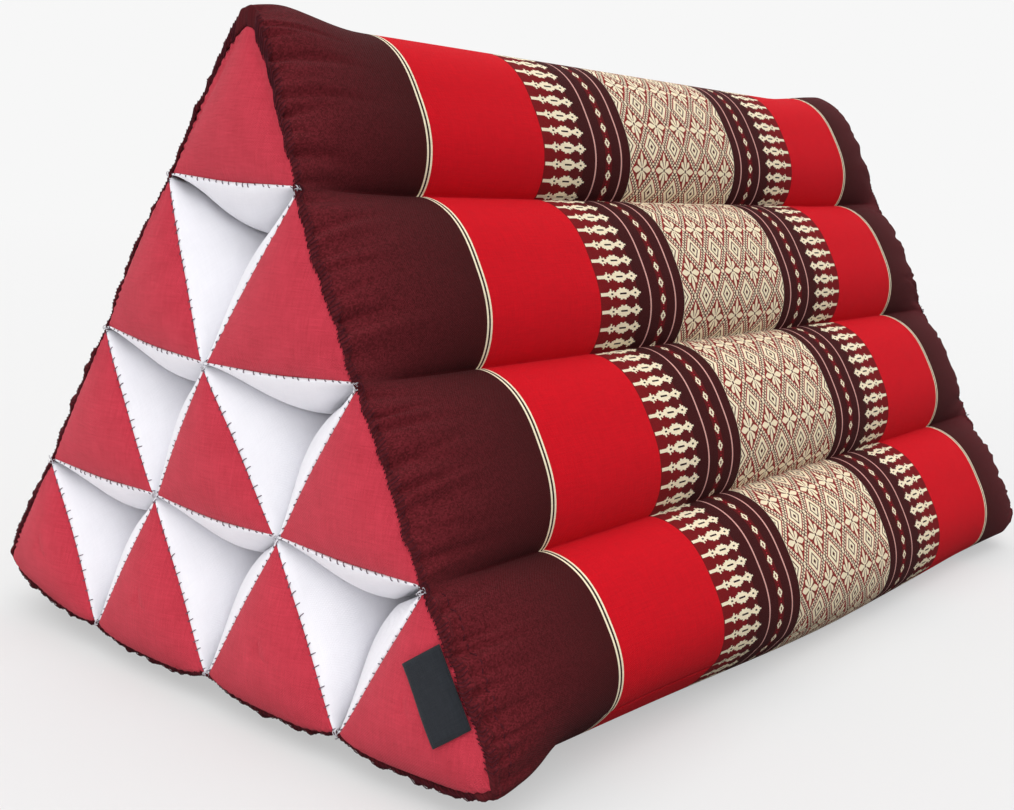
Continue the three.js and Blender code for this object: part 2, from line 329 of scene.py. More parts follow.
class Measure:
    """A number that changes over the surface. Sums of measures become Math nodes."""

    def __init__(self, tree, socket):
        self.tree = tree
        self.socket = socket

    def step(self, operation, *others):
        node = self.tree.nodes.new("ShaderNodeMath")
        node.operation = operation
        for slot, value in enumerate((self,) + others):
            if isinstance(value, Measure):
                self.tree.links.new(value.socket, node.inputs[slot])
            else:
                node.inputs[slot].default_value = value
        return Measure(self.tree, node.outputs[0])

    def __add__(self, other):
        return self.step("ADD", other)

    def __sub__(self, other):
        return self.step("SUBTRACT", other)

    def __mul__(self, other):
        return self.step("MULTIPLY", other)

    def __truediv__(self, other):
        return self.step("DIVIDE", other)

    def __lt__(self, other):
        return self.step("LESS_THAN", other)

    def __gt__(self, other):
        return self.step("GREATER_THAN", other)

    def flipped(self):
        return self.step("MULTIPLY_ADD", -1, 1)

    def size(self):
        return self.step("ABSOLUTE")

    def near(self, value, reach):
        return (self - value).size() < reach

    def folded(self, period, shift=0):
        """Distance to the nearest multiple of the period."""
        return (self + shift).step("PINGPONG", period / 2)

    def stepped(self, width):
        return (self / width).step("FLOOR").step("MULTIPLY_ADD", width, width / 2)

    def either(self, other):
        return self.step("MAXIMUM", other)

    def both(self, other):
        return self.step("MULTIPLY", other)


def mixed(tree, share, first, second):
    """first where share is 0, second where it is 1. Each is a colour or a socket."""
    node = tree.nodes.new("ShaderNodeMix")
    node.data_type = "RGBA"
    for socket, value in ((node.inputs[0], share), (node.inputs[6], first), (node.inputs[7], second)):
        if isinstance(value, Measure):
            tree.links.new(value.socket, socket)
        elif isinstance(value, bpy.types.NodeSocket):
            tree.links.new(value, socket)
        elif isinstance(value, tuple):
            socket.default_value = (*value, 1)
        else:
            socket.default_value = value
    return node.outputs[2]


def shade(red, green, blue):
    """A screen colour, 0 to 255, as Blender's linear colour."""
    linear = []
    for value in (red, green, blue):
        share = value / 255
        linear.append(share / 12.92 if value < 11 else ((share + 0.055) / 1.055) ** 2.4)
    return tuple(linear)


def new_group(name, inputs, outputs):
    tree = bpy.data.node_groups.new(name, "ShaderNodeTree")
    for label, kind in inputs:
        tree.interface.new_socket(label, in_out="INPUT", socket_type=kind)
    for label, kind in outputs:
        tree.interface.new_socket(label, in_out="OUTPUT", socket_type=kind)
    return tree, tree.nodes.new("NodeGroupInput"), tree.nodes.new("NodeGroupOutput")


def parts_of(tree, vector):
    split = tree.nodes.new("ShaderNodeSeparateXYZ")
    tree.links.new(vector, split.inputs[0])
    return [Measure(tree, output) for output in split.outputs]


def noise(tree, vector, scale, detail=2, rough=0.5):
    node = tree.nodes.new("ShaderNodeTexNoise")
    node.inputs["Scale"].default_value = scale
    node.inputs["Detail"].default_value = detail
    node.inputs["Roughness"].default_value = rough
    tree.links.new(vector, node.inputs["Vector"])
    return Measure(tree, node.outputs[0])


def joined(tree, x, y, z=0.0):
    node = tree.nodes.new("ShaderNodeCombineXYZ")
    for socket, value in zip(node.inputs, (x, y, z)):
        if isinstance(value, Measure):
            tree.links.new(value.socket, socket)
        else:
            socket.default_value = value
    return node.outputs[0]


def plain_weave():
    """Over and under of two sets of threads: their height and each thread's own tint."""
    tree, given, result = new_group(
        "plain weave",
        [("Across", "NodeSocketFloat"), ("Along", "NodeSocketFloat"), ("Pitch", "NodeSocketFloat")],
        [("Height", "NodeSocketFloat"), ("Tint", "NodeSocketFloat")],
    )
    across, along, pitch = [Measure(tree, given.outputs[i]) for i in range(3)]
    a, b = across / pitch, along / pitch
    wave_a = (a * math.pi).step("SINE").size()
    wave_b = (b * math.pi).step("SINE").size()
    over = (a.step("FLOOR") + b.step("FLOOR")).step("PINGPONG", 1)
    height = wave_a * over + wave_b * over.flipped()
    streaks = noise(tree, joined(tree, a.step("FLOOR") * 0.37, b * 0.02), 3, 1)
    picks = noise(tree, joined(tree, a * 0.02, b.step("FLOOR") * 0.41, 7.0), 3, 1)
    tree.links.new(height.socket, result.inputs["Height"])
    tree.links.new((streaks * 0.5 + picks * 0.5).socket, result.inputs["Tint"])
    return tree


WEAVE = plain_weave()


def new_material(name, roughness, sheen=0.0, sheen_roughness=0.5):
    material = bpy.data.materials.new(name)
    material.use_nodes = True
    tree = material.node_tree
    shader = tree.nodes["Principled BSDF"]
    shader.inputs["Roughness"].default_value = roughness
    shader.inputs["Sheen Weight"].default_value = sheen
    shader.inputs["Sheen Roughness"].default_value = sheen_roughness
    shader.inputs["Specular IOR Level"].default_value = 0.08
    return material, tree, shader


def woven_height(tree, shader, height, distance, strength=1.0):
    bump = tree.nodes.new("ShaderNodeBump")
    bump.inputs["Distance"].default_value = distance
    bump.inputs["Strength"].default_value = strength
    tree.links.new(height.socket, bump.inputs["Height"])
    tree.links.new(bump.outputs[0], shader.inputs["Normal"])


def use_weave(tree, across, along, pitch):
    group = tree.nodes.new("ShaderNodeGroup")
    group.node_tree = WEAVE
    tree.links.new(across.socket, group.inputs["Across"])
    tree.links.new(along.socket, group.inputs["Along"])
    group.inputs["Pitch"].default_value = pitch
    return Measure(tree, group.outputs["Height"]), Measure(tree, group.outputs["Tint"])


def white_cotton():
    material, tree, shader = new_material("white cotton", 0.85, sheen=0.1)
    place = tree.nodes.new("ShaderNodeTexCoord").outputs["Object"]
    x, y, z = parts_of(tree, place)
    height, tint = use_weave(tree, x * 1000, (y + z * 0.58) * 1000, 0.4)
    soft = noise(tree, place, 45, 3)
    lot = soft * 0.6 + tint * 0.4
    colour = mixed(tree, lot, shade(214, 214, 220), shade(237, 236, 241))
    tree.links.new(colour, shader.inputs["Base Color"])
    woven_height(tree, shader, height * 0.06 + soft, 0.0016, 0.6)
    return material


WHITE_COTTON = white_cotton()
ROLLS = [(row, place) for row in range(1, ROWS + 1) for place in range(1, row + 1)]
for row, place in ROLLS:
    rings, tips = roll_grid(row, place)
    case = ring_piece(f"case_{row}_{place}", rings, tips[0], tips[1])
    case.data.materials.append(WHITE_COTTON)
    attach(case, "root")
    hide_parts(f"roll_{row}_{place}")

# Cover
# Striped cloth with a woven pattern in cream, in one cut length for each long face. It is
# sewn down to the rolls in channels, and gathered at both ends into a turned, overcast hem.
COVER_STEPS = 84  # points across each roll
PANEL = ROWS * COVER_STEPS
ROUND = 3 * PANEL
# Depth behind the end seam and rise of the hem there, for a hem of the usual width
HEM_RISES = [(0, 0.5), (0.8, 1.0), (1.8, 1.1), (2.7, 0.5), (3.4, -0.35), (4.2, -0.5), (6, -0.2), (9, 0)]
# Width of the hem on each wall, from the ridge down the front, along the base and up the back
HEM_WIDTHS = [0.5, 0.5, 0.5, 0.8, 0.4, 0.4, 0.4, 0.4, 0.4, 0.4, 0.4, 0.4]
# Depth of the edge that is turned in, and its share of the way to the end face's rim
HEM_TURN = [(0.4, 1.0), (-0.1, 0.85), (-0.35, 0.6), (-0.4, 0.35), (-0.25, 0.12)]
HEM_LAP = 0.5  # and how far it laps over that rim
HEM_DEPTHS = [0, 0.35, 0.7, 1.05, 1.4, 1.8, 2.3, 2.9, 3.5, 4.1, 4.8]
OPEN_DEPTHS = [*np.arange(5.8, 42, 1.45), 45, 49, 54, 60, 68, 78, 90, 104, 120, 138, 158, 180, 204, 228]
HEM_LUMPS = 3.3  # from one lump of the hem to the next
HEM_SHIFT_FADE = 9  # the edge wanders in and out, and the cloth with it over this depth
ROUNDED = 26  # the cushion's own corners are blunt up to this depth
BLUNT_REACH = 18  # and on this many points each way
SEAM_EASE = 14  # times that the channels are smoothed at the end seam
CORNER_EASE = 130  # and the cushion's own corners
# Creases that run in from the end seam: how many on a wall, widths, lengths and depths
PUCKER_KINDS = [(10, (1.3, 2.2), (9, 28), (1.4, 5.0)), (4, (3.5, 6), (18, 36), (1.4, 4.4))]
random = np.random.default_rng(7)


def softened(values, times):
    for _ in range(times):
        values = 0.5 * values + 0.25 * (np.roll(values, 1, axis=0) + np.roll(values, -1, axis=0))
    return values


def outline_walls():
    """The twelve walls round the cushion, from the ridge down, along the base and up."""
    walls = [(seam_point(row, 0), seam_point(row + 1, 0), COVERED) for row in range(ROWS)]
    walls += [(seam_point(ROWS, i), seam_point(ROWS, i + 1), BASE) for i in range(ROWS)]
    walls += [(seam_point(row, row), seam_point(row - 1, row - 1), COVERED) for row in range(ROWS, 0, -1)]
    return walls


ACROSS = spread(COVER_STEPS, 0.2)
TO_CORNER = np.abs((np.arange(ROUND) + PANEL / 2) % PANEL - PANEL / 2)
OUTER = np.exp(-(TO_CORNER / BLUNT_REACH) ** 2)  # 1 at the cushion's own three corners


def cover_outline(depth):
    """The cushion's outside at a depth, and the way out of it at each point."""
    walls = [wall_line(start, end, wall, ACROSS, depth)[0] for start, end, wall in outline_walls()]
    line = np.concatenate(walls)
    edges = np.roll(line, -1, axis=0) - np.roll(line, 1, axis=0)
    outward = np.stack([edges[:, 1], -edges[:, 0]], axis=1)
    outward = softened(outward / np.linalg.norm(outward, axis=1, keepdims=True), 20)
    outward /= np.linalg.norm(outward, axis=1, keepdims=True)
    near = softened(line, SEAM_EASE)
    blunt = near + OUTER[:, None] * (softened(near, CORNER_EASE) - near)
    return line + fade(depth / ROUNDED) * (blunt - line), outward


def turned_edge():
    """Where the cover's edge ends, along the rims of the end faces that it meets."""
    walls = [(row + 1, 1, 0) for row in range(ROWS)]
    walls += [(ROWS, i + 1, 1) for i in range(ROWS)]
    walls += [(row, row, 2) for row in range(ROWS, 0, -1)]
    lines = []
    for row, place, side in walls:
        line, outward = end_line(row, place, side, ACROSS)
        lines.append(line - (HEM_TURNED * (1 - np.abs(ACROSS) ** 3) + HEM_LAP)[:, None] * outward)
    return softened(np.concatenate(lines), 4)


PIECE_ACROSS = np.tile(ACROSS, 3 * ROWS)
VALLEY = np.abs(PIECE_ACROSS) ** 6  # 1 at the seams between the rolls
CHORD = (PIECE_ACROSS + 1) / 2 * PITCH + PITCH * np.repeat(np.arange(3 * ROWS), COVER_STEPS)
WIDTHS = softened(np.repeat(HEM_WIDTHS, COVER_STEPS), 30)
TURNED = turned_edge()
full_line, _ = cover_outline(HALF)
steps_round = np.linalg.norm(np.roll(full_line, -1, axis=0) - full_line, axis=1)
ARC = np.concatenate([[0], np.cumsum(steps_round)])


def draw_puckers():
    """Rows of place along the outline, width, length, lean and depth."""
    rows = []
    for wall in range(3 * ROWS):
        for count, widths, lengths, deeps in PUCKER_KINDS:
            for i in range(count):
                share = (i + 0.5 + random.uniform(-0.35, 0.35)) / count
                edge = 1 - abs(2 * share - 1) ** 5
                rows.append((
                    PITCH * (wall + share), random.uniform(*widths), random.uniform(*lengths),
                    random.uniform(-0.22, 0.22), edge * random.uniform(*deeps),
                ))
    return np.array(rows)


PUCKERS = {-1: draw_puckers(), 1: draw_puckers()}


def pucker_depth(end, depth):
    """How far the cloth is drawn in at a depth, at each place round the outline."""
    total = np.zeros(ROUND)
    for place, width, length, lean, deep in PUCKERS[end]:
        away = (CHORD - place - lean * depth) / width
        crease = np.exp(-away ** 2) - 0.55 * np.exp(-(away / 2.1) ** 2)
        total += deep * crease * math.exp(-1.6 * (depth / length) ** 1.6) * min(1, 0.2 + depth / 2)
    return total


def uneven(end, seed):
    """A slow wander of about one, round the outline."""
    turns = 2 * np.pi * np.arange(ROUND) / ROUND
    return sum(np.sin(turns * n + seed * n * 1.7 + end) / 3 for n in (17, 29, 43, 61, 97))


def cover_line(end, depth, turned=0.0):
    """One line round the cushion at a depth, with its hem, puckers and pulls."""
    line, outward = cover_outline(max(depth, 0))
    places, rises = zip(*HEM_RISES)
    rise = WIDTHS * np.interp(depth / WIDTHS, places, rises) * (1 - 0.6 * VALLEY)
    lumps = 1 + 0.18 * np.sin(CHORD * 2 * np.pi / HEM_LUMPS) + 0.2 * uneven(end, 2)
    rise = np.where(rise > 0, rise * lumps, rise)
    rise -= pucker_depth(end, max(depth, 0))
    line = line + rise[:, None] * outward
    line = (1 - turned) * line + turned * TURNED
    shift = 0.7 * uneven(end, 1) * math.exp(-max(depth, 0) / HEM_SHIFT_FADE)
    placed = settle(end * (HALF - depth + shift), line)
    placed[:, 2] = np.maximum(placed[:, 2], 0)
    return placed


# The cover's lines, each by its depth behind the end seam and how far it is turned in
STATIONS = HEM_TURN + [(depth, 0.0) for depth in HEM_DEPTHS + OPEN_DEPTHS]
LINES = np.array(
    [cover_line(-1, *station) for station in STATIONS] + [cover_line(1, HALF)]
    + [cover_line(1, *station) for station in STATIONS[::-1]]
)
CLOTH_X = np.array(
    [depth - HALF for depth, _ in STATIONS] + [0] + [HALF - depth for depth, _ in STATIONS[::-1]]
)


def thicken(piece, thickness):
    """Gives a sheet its thickness, inwards from its outer face."""
    wall = piece.modifiers.new("thickness", "SOLIDIFY")
    wall.thickness = thickness * MM
    wall.offset = -1
    bpy.ops.object.select_all(action="DESELECT")
    piece.select_set(True)
    bpy.context.view_layer.objects.active = piece
    bpy.ops.object.modifier_apply(modifier=wall.name)
    piece.select_set(False)


def sheet_piece(name, grid, places, thickness):
    """A sheet on a grid of points in millimetres, with its flat cloth's own places as UV."""
    rows, count = grid.shape[:2]
    at = np.arange(rows * count).reshape(rows, count)
    faces = np.stack([at[:-1, :-1], at[:-1, 1:], at[1:, 1:], at[1:, :-1]], axis=-1).reshape(-1, 4)
    piece = mesh_piece(name, grid, faces.tolist())
    layer = piece.data.uv_layers.new(name="cloth")
    layer.uv.foreach_set("vector", places.reshape(-1, 2)[faces.ravel()].astype(np.float32).ravel())
    thicken(piece, thickness)
    return piece


def chart(measure, length, steps, scale=1):
    """A step curve: from each place of steps on, the measure's answer is its value."""
    ramp = measure.tree.nodes.new("ShaderNodeValToRGB")
    ramp.color_ramp.interpolation = "CONSTANT"
    stops = ramp.color_ramp.elements
    while len(stops) < len(steps):
        stops.new(1)
    for stop, (place, value) in zip(stops, steps):
        stop.position = place / length
        stop.color = (*value, 1) if isinstance(value, tuple) else (value / scale,) * 3 + (1,)
    measure.tree.links.new((measure / length).socket, ramp.inputs[0])
    if isinstance(steps[0][1], tuple):
        return ramp.outputs[0]
    return Measure(measure.tree, ramp.outputs[0]) * scale


LATTICE_EDGE = 48.7  # half the width of the middle band
FINGER_TIPS = 114.2  # the finger motifs start here and point inwards
FINGER_LENGTH = 30
REPEAT = 7.5  # from one finger, or one diamond of the chain, to the next


def cover_colours():
    """The cloth's stripes and woven pattern, by distance from its middle and place round."""
    cream = shade(250, 236, 205)
    pink = shade(226, 168, 160)
    maroon = shade(63, 12, 14)
    wine = shade(92, 16, 20)
    brick = shade(122, 14, 20)
    bright = shade(208, 5, 26)
    dark = shade(46, 14, 16)
    tree, given, result = new_group(
        "cover pattern", [("Across", "NodeSocketFloat"), ("Round", "NodeSocketFloat")],
        [("Color", "NodeSocketColor"), ("Raised", "NodeSocketFloat")],
    )
    out = Measure(tree, given.outputs[0]).size()
    round_ = Measure(tree, given.outputs[1])
    x = out.stepped(0.5)
    v = round_.stepped(0.375)

    # Stripes, from the middle outwards
    ground = chart(out, HALF + 10, [
        (0, cream), (LATTICE_EDGE, maroon), (55.6, pink), (56.3, maroon), (76.1, pink), (76.8, maroon),
        (86, wine), (96, brick), (114, bright),
        (184.8, cream), (185.6, dark), (186.7, cream), (187.5, maroon),
    ])

    # Finger motifs: half their height at each distance in from the bright band
    finger = x * -1 + FINGER_TIPS
    beside = v.folded(REPEAT)
    half = chart(finger, 32, [
        (0, 0.8), (5.4, 1.2), (6.4, 1.5), (7.2, 2.4), (8.2, 1.1), (9.2, 1.6), (10.2, 0.9), (11.0, 0.7),
        (11.8, 1.4), (12.8, 2.0), (14.2, 2.6), (15.6, 2.2), (17.0, 2.6), (18.4, 2.0), (20.0, 1.4),
        (21.2, 0.6), (22.8, 1.2), (23.9, 1.6), (25.0, 2.5), (26.2, 1.7), (27.8, 1.2), (28.8, 0.5), (29.9, 0),
    ], scale=4)
    inside = chart(finger, 32, [
        (0, 0), (7.5, 0.5), (8.9, 0), (14.0, 0.5), (19.1, 0), (25.1, 0.5), (26.6, 0),
    ], scale=4)
    fingers = (beside < half).both((beside < inside).flipped()).both(finger > 0).both(finger < FINGER_LENGTH)
    slots = (beside < inside).both(finger > 0).both(finger < FINGER_LENGTH)

    # Chain of diamonds between the two pink lines
    link = (x - 66.5).size()
    bead = v.folded(REPEAT, REPEAT / 2)
    diamond = link / 2.2 + bead / 2.4
    diamonds = (diamond < 1).both((link < 0.35).both(bead < 0.8).flipped())
    chain = (link < 0.4).both(diamond > 1).both((v / 1.5).step("FRACT") < 0.6)
    warm = link < 2.4

    # Lattice in the middle band: flower cells inside pink lines, beaded bands, small diamonds
    inner = x < LATTICE_EDGE
    a = out.folded(19.5)
    b = round_.folded(22.5)
    cell = a / 9.75 + b / 11.25
    lines = cell.near(0.84, 0.05).either(cell.near(1.32, 0.05))
    rings = chart(cell, 2.2, [(0, 0.0), (1.06, 1), (1.14, 0), (1.6, 1), (1.7, 0), (1.88, 1)])
    beads = ((a - b) / 2.4).step("FRACT") < 0.4
    beaded = cell.near(0.975, 0.07).either(cell.near(1.2, 0.06)).both(beads)
    reach = (a * a + b * b * 0.6).step("SQRT")
    angle = (b * 0.77).step("ARCTAN2", a)
    ribs = ((angle * 8 + math.pi).step("COSINE") > 0.62).both(reach > 1.2).both(cell < 0.8)
    eye = reach < 0.7
    petals = (angle * 8).step("COSINE") * 0.09 + 0.68
    field = (cell > petals).both(cell < 0.8)
    dark_thread = rings.either(beaded).either(eye).both(inner)
    ribs = ribs.both(inner)

    colour = mixed(tree, warm, ground, mixed(tree, 0.5, maroon, brick))
    colour = mixed(tree, chain, colour, shade(165, 20, 38))
    colour = mixed(tree, diamonds, colour, cream)
    colour = mixed(tree, fingers, colour, cream)
    colour = mixed(tree, slots, colour, dark)
    colour = mixed(tree, lines.either(field).both(inner), colour, shade(156, 28, 32))
    colour = mixed(tree, dark_thread, colour, shade(88, 24, 20))
    colour = mixed(tree, ribs, colour, shade(124, 56, 40))
    raised = fingers.either(diamonds).either(inner.both(dark_thread.flipped()))
    tree.links.new(colour, result.inputs["Color"])
    tree.links.new(raised.socket, result.inputs["Raised"])
    return tree


END_CLOTH = 187.9  # the plain maroon ends start here, and are shot with pink threads
SHOT_CELL = 0.5
HEM_DARK = 0.9  # width of the hem that the overcasting darkens


def woven_cover():
    """The cover's cloth. Its maroon ends show more and more pink towards the end seams."""
    material, tree, shader = new_material("woven cover", 0.8, sheen=0.02)
    cloth = tree.nodes.new("ShaderNodeUVMap")
    cloth.uv_map = "cloth"
    across, along, _ = parts_of(tree, cloth.outputs[0])
    pattern = tree.nodes.new("ShaderNodeGroup")
    pattern.node_tree = cover_colours()
    tree.links.new(across.socket, pattern.inputs["Across"])
    tree.links.new(along.socket, pattern.inputs["Round"])
    height, tint = use_weave(tree, across, along, 0.45)
    fleck = noise(tree, joined(tree, across * 1.1, along * 2.4), 1.0, 3, 0.7)
    cells = tree.nodes.new("ShaderNodeTexWhiteNoise")
    cells.noise_dimensions = "2D"
    crossing = joined(tree, (across / SHOT_CELL).step("FLOOR"), (along / SHOT_CELL).step("FLOOR"))
    tree.links.new(crossing, cells.inputs["Vector"])
    thread = Measure(tree, cells.outputs["Value"])
    end_cloth = across.size() > END_CLOTH
    near_seam = (across.size() - 200).step("MULTIPLY_ADD", 0.007, 0.1)
    shot = ((thread * 0.7 + 0.15) * near_seam + (fleck - 0.5) * 0.07).both(end_cloth)
    shot.tree.nodes[-1].use_clamp = True
    colour = mixed(tree, shot, pattern.outputs["Color"], shade(150, 48, 60))
    colour = mixed(tree, (across.size() > HALF - HEM_DARK) * 0.3, colour, shade(24, 6, 9))
    strength = tint.step("MULTIPLY_ADD", 0.5, 0.75)
    dim = tree.nodes.new("ShaderNodeMix")
    dim.data_type = "RGBA"
    dim.blend_type = "MULTIPLY"
    dim.inputs[0].default_value = 1
    tree.links.new(colour, dim.inputs[6])
    tree.links.new(strength.socket, dim.inputs[7])
    tree.links.new(dim.outputs[2], shader.inputs["Base Color"])
    raised = Measure(tree, pattern.outputs["Raised"])
    woven_height(tree, shader, height * 0.5 + raised * 0.6 + fleck * 0.3, 0.0003, 0.8)
    return material


WOVEN_COVER = woven_cover()
for index, name in enumerate(["front", "base", "back"]):
    first = index * PANEL
    which = np.arange(first, first + PANEL + 1, 2 if name == "base" else 1)
    arc = ARC[which] if name != "back" else ARC[-1] - ARC[which]
    places = np.stack(np.broadcast_arrays(CLOTH_X[:, None], arc[None, :]), axis=-1)
    cover = sheet_piece(f"cloth_{name}", LINES[:, which % ROUND], places, SHEET)
    cover.data.materials.append(WOVEN_COVER)
    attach(cover, "root")
    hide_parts(f"cover_{name}")
    wide = abs(arc[-1] - arc[0])
    wide * MM

# End triangles
# Twenty pieces of plain red cotton, one on each end of each roll. Their edges are turned
# under and whipped to the white case, so they stand up a little between the stitches.
STITCH_PITCH = 3.8
RIM_PUCKERS = 0.16  # height of the puckers along a white wall
HEM_PUCKERS = 0.42  # and along the cover's hem
RIM_TUCK = 0.8  # the rim itself dips this far under the dome
DOME_AREA = 1.03  # area of the cloth over that of its rim, for the dome
FACE_RINGS = [0.1, 0.22, 0.34, 0.46, 0.57, 0.67, 0.76, 0.84, 0.9, 0.94, 0.97, 0.99, 1.0]


def face_grid(end, row, place):
    """Rings of an end triangle from near its middle to its rim, and its middle."""
    corners, line = face_outline(row, place)
    middle = np.mean(corners, axis=0)
    around = np.cumsum(np.linalg.norm(np.roll(line, -1, axis=0) - line, axis=1))
    phase = random.uniform(0, 6)
    strength = np.concatenate([
        np.full(SIDE_STEPS, RIM_PUCKERS if wall is WHITE else HEM_PUCKERS) for wall in roll_walls(row, place)
    ])
    strength = strength * (1 + 0.6 * np.sin(around / 7 + phase))
    rings = []
    for share in FACE_RINGS:
        ring = middle + share * (line - middle)
        near_edge = np.clip((share - 0.55) / 0.45, 0, 1) ** 1.6
        tuck = RIM_TUCK * np.clip((share - 0.95) / 0.05, 0, 1) ** 2
        wave = np.cos(around * 2 * np.pi / STITCH_PITCH + 0.9 * np.sin(around / 9 + phase))
        rise = END_DOME * dome_share(row, corners, ring) + strength * near_edge * wave - tuck
        rings.append(settle(end * (HALF + rise), ring))
    return np.array(rings), settle(end * (HALF + END_DOME), middle[None])[0]


def red_cotton():
    material, tree, shader = new_material("red cotton", 0.8, sheen=0.08)
    place = tree.nodes.new("ShaderNodeTexCoord").outputs["Object"]
    x, y, z = parts_of(tree, place)
    height, tint = use_weave(tree, y * 1000, z * 1000, 0.5)
    soft = noise(tree, place, 90, 3)
    lot = tint * 0.7 + soft * 0.3
    colour = mixed(tree, lot, shade(148, 32, 44), shade(212, 66, 84))
    tree.links.new(colour, shader.inputs["Base Color"])
    woven_height(tree, shader, height * 0.6 + soft * 0.5, 0.00025, 0.8)
    return material


RED_COTTON = red_cotton()
for end, side in ((-1, "left"), (1, "right")):
    for row, place in ROLLS:
        rings, tip = face_grid(end, row, place)
        cap = ring_piece(f"end_{side}_{row}_{place}", rings, tip)
        if end > 0:
            cap.data.flip_normals()
        thicken(cap, SHEET)
        cap.data.materials.append(RED_COTTON)
        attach(cap, "root")
        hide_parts(f"cap_{side}_{row}_{place}")
        _, line = face_outline(row, place)
        low, high = line.min(axis=0), line.max(axis=0)
        flat = tuple((high - low) * MM)
        closing = np.roll(line, -1, axis=0)
        area = abs((line[:, 0] * closing[:, 1] - line[:, 1] * closing[:, 0]).sum()) / 2 * MM * MM
        area *= DOME_AREA

# Label
# A bare black woven tape, folded double and caught by its long open edge in the front seam
# of the lowest front roll.
LABEL_LENGTH = 29
LABEL_WIDTH = 13.2
LABEL_STEPS = 15
LABEL_FROM_CORNER = 24.5
LABEL_FROM_SEAM = 0.2
LABEL_DROOP = 0.15  # it hangs down towards the floor by this share of its width
# Distance from the seam and height over the red cotton, round the fold
LABEL_FOLD = [
    (0, 0.5), (3, 0.95), (6, 1.2), (10, 1.25), (11.8, 1.2), (12.8, 1.1), (LABEL_WIDTH, 0.9),
    (12.8, 0.7), (11.5, 0.6), (7, 0.5), (0, 0.2),
]
TAPE = 0.28  # thickness of the tape


def label_grid():
    """The tape lies flat over the dome of the end triangle, as high as the dome is under it."""
    face = end_corners(ROWS, 1)
    corners = roll_corners(ROWS, 1)
    up_seam = (corners[0] - corners[1]) / np.linalg.norm(corners[0] - corners[1])
    inwards = np.array([up_seam[1], -up_seam[0]])

    def point_at(along, away):
        up = LABEL_FROM_CORNER + along - LABEL_DROOP * away
        return corners[1] + up * up_seam + (LABEL_FROM_SEAM + away) * inwards

    def dome_at(along, away):
        return END_DOME * dome_share(ROWS, face, point_at(along, away)[None])[0]

    near = 0.5 * (dome_at(6, 2) + dome_at(LABEL_LENGTH - 6, 2))
    far = max(dome_at(along, LABEL_WIDTH) for along in (0, LABEL_LENGTH / 2, LABEL_LENGTH))
    lines = []
    for along in np.linspace(0, LABEL_LENGTH, LABEL_STEPS):
        line = []
        for away, above in LABEL_FOLD:
            share = away / LABEL_WIDTH
            height = (1 - share) * near + share * far + above + 0.25 * share * math.sin(along / 5)
            line.append(settle(-(HALF + height), point_at(along, away)[None])[0])
        lines.append(line)
    return np.array(lines)


def label_places():
    round_fold = np.cumsum([0] + [math.dist(a, b) for a, b in zip(LABEL_FOLD, LABEL_FOLD[1:])])
    along = np.linspace(0, LABEL_LENGTH, LABEL_STEPS)
    return np.stack(np.meshgrid(along, round_fold, indexing="ij"), -1)


def black_tape():
    material, tree, shader = new_material("black tape", 0.6, sheen=0.1)
    cloth = tree.nodes.new("ShaderNodeUVMap")
    cloth.uv_map = "cloth"
    across, along, _ = parts_of(tree, cloth.outputs[0])
    height, tint = use_weave(tree, across, along, 0.3)
    colour = mixed(tree, tint, shade(22, 24, 28), shade(44, 48, 54))
    tree.links.new(colour, shader.inputs["Base Color"])
    woven_height(tree, shader, height, 0.0001, 0.7)
    return material


label = sheet_piece("tape", label_grid(), label_places(), TAPE)
label.data.materials.append(black_tape())
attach(label, "root")
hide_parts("label")

# Sewing thread
# The end triangles are whipped to the cases with grey thread, the cover's edge is overcast
# with dark thread all round, and the threads are tied off in knots where the rolls meet.
THREAD = 0.19  # half its thickness
THREAD_SIDES = 5


def threads(name, paths, planes, radius):
    """Short threads along paths in millimetres, joined in one mesh. A plane's normal is given
    for each path, and the thread's rings are turned by it."""
    count, length = paths.shape[:2]
    along = np.gradient(paths, axis=1)
    along /= np.linalg.norm(along, axis=2, keepdims=True) + 1e-9
    side = planes[:, None] - (planes[:, None] * along).sum(axis=2, keepdims=True) * along
    side /= np.linalg.norm(side, axis=2, keepdims=True) + 1e-9
    lift = np.cross(along, side)
    turns = 2 * np.pi * np.arange(THREAD_SIDES) / THREAD_SIDES
    ends = np.ones(length)
    ends[[0, -1]] = 0.4
    around = np.cos(turns)[:, None] * side[:, :, None] + np.sin(turns)[:, None] * lift[:, :, None]
    rings = paths[:, :, None] + radius * ends[None, :, None, None] * around
    at = np.arange(count * length * THREAD_SIDES).reshape(count, length, THREAD_SIDES)
    after = np.roll(at, -1, axis=2)
    faces = np.stack([at[:, :-1], after[:, :-1], after[:, 1:], at[:, 1:]], axis=-1).reshape(-1, 4).tolist()
    faces += at[:, 0, ::-1].tolist() + at[:, -1].tolist()
    return mesh_piece(name, rings, faces)


def side_points(line, side, across):
    """Points of a ring's side at places across it."""
    first = side * SIDE_STEPS
    which = np.append(np.arange(first, first + SIDE_STEPS), (first + SIDE_STEPS) % len(line))
    places = np.append(SIDE_ACROSS, 1)
    return np.stack([np.interp(across, places, line[which, i]) for i in (0, 1)], axis=1)


# On the front, lower and back white walls: the share of the case's turned edge that a whip
# stitch leaves free, and how far it slants along the edge
WHIP_FREE = [0.42, 0.6, 0.85]
WHIP_SLANT = [0.9, 0.8, 0.8]
# The stitch on the end triangle: share of the way to the rim, height and share of the slant
WHIP_ON_FACE = [(0.978, -0.4, 1.0), (0.985, 0.25, 0.8), (0.998, 0.4, 0.4)]
LIP_DEPTHS, LIP_SHARES = zip(*LIP_RINGS[::-1])


